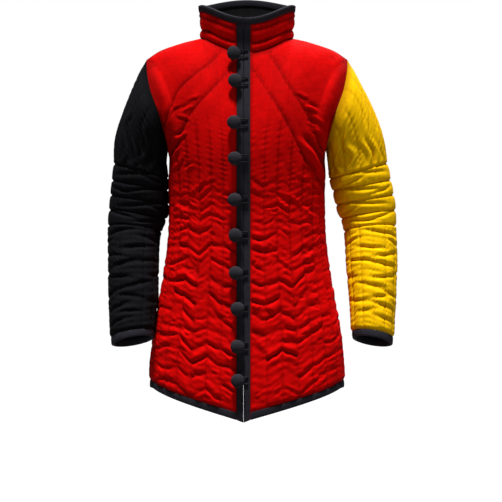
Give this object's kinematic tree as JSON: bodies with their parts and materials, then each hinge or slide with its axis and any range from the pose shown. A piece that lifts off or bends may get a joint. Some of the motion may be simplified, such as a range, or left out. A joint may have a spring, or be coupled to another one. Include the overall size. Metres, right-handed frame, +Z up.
{
  "type": "gambeson",
  "caption": "Quilted arming jacket in worn shape: red body and standing collar, one black and one yellow sleeve, black bindings, cloth ball buttons closed with cord loops",
  "frame": {"origin": "middle of the neck's base, level with the inner ends of the shoulder seams, where the wearer's shoulders carry the garment", "axes": "+Z up along the body, -Y to the wearer's front, +X to the wearer's left"},
  "size_m": [0.6208, 0.316, 0.9038],
  "materials": {
    "red_cloth": "matte quilted cotton",
    "black_cloth": "matte quilted cotton",
    "yellow_cloth": "matte quilted cotton",
    "binding_tape": "matte twill tape",
    "button_cloth": "matte cloth over stuffing",
    "loop_cord": "matte cord"
  },
  "bodies": {
    "root": {"front_right": "red_cloth", "front_left": "red_cloth", "back": "red_cloth", "collar": "red_cloth", "sleeve_right": "black_cloth", "sleeve_left": "yellow_cloth", "front_binding_right": "binding_tape", "front_binding_left": "binding_tape", "hem_binding": "binding_tape", "collar_binding": "binding_tape", "cuff_binding_right": "binding_tape", "cuff_binding_left": "binding_tape", "button_01": "button_cloth", "button_02": "button_cloth", "button_03": "button_cloth", "button_04": "button_cloth", "button_05": "button_cloth", "button_06": "button_cloth", "button_07": "button_cloth", "button_08": "button_cloth", "button_09": "button_cloth", "button_10": "button_cloth", "loop_01": "loop_cord", "loop_02": "loop_cord", "loop_03": "loop_cord", "loop_04": "loop_cord", "loop_05": "loop_cord", "loop_06": "loop_cord", "loop_07": "loop_cord", "loop_08": "loop_cord", "loop_09": "loop_cord", "loop_10": "loop_cord"}
  },
  "joints": []
}
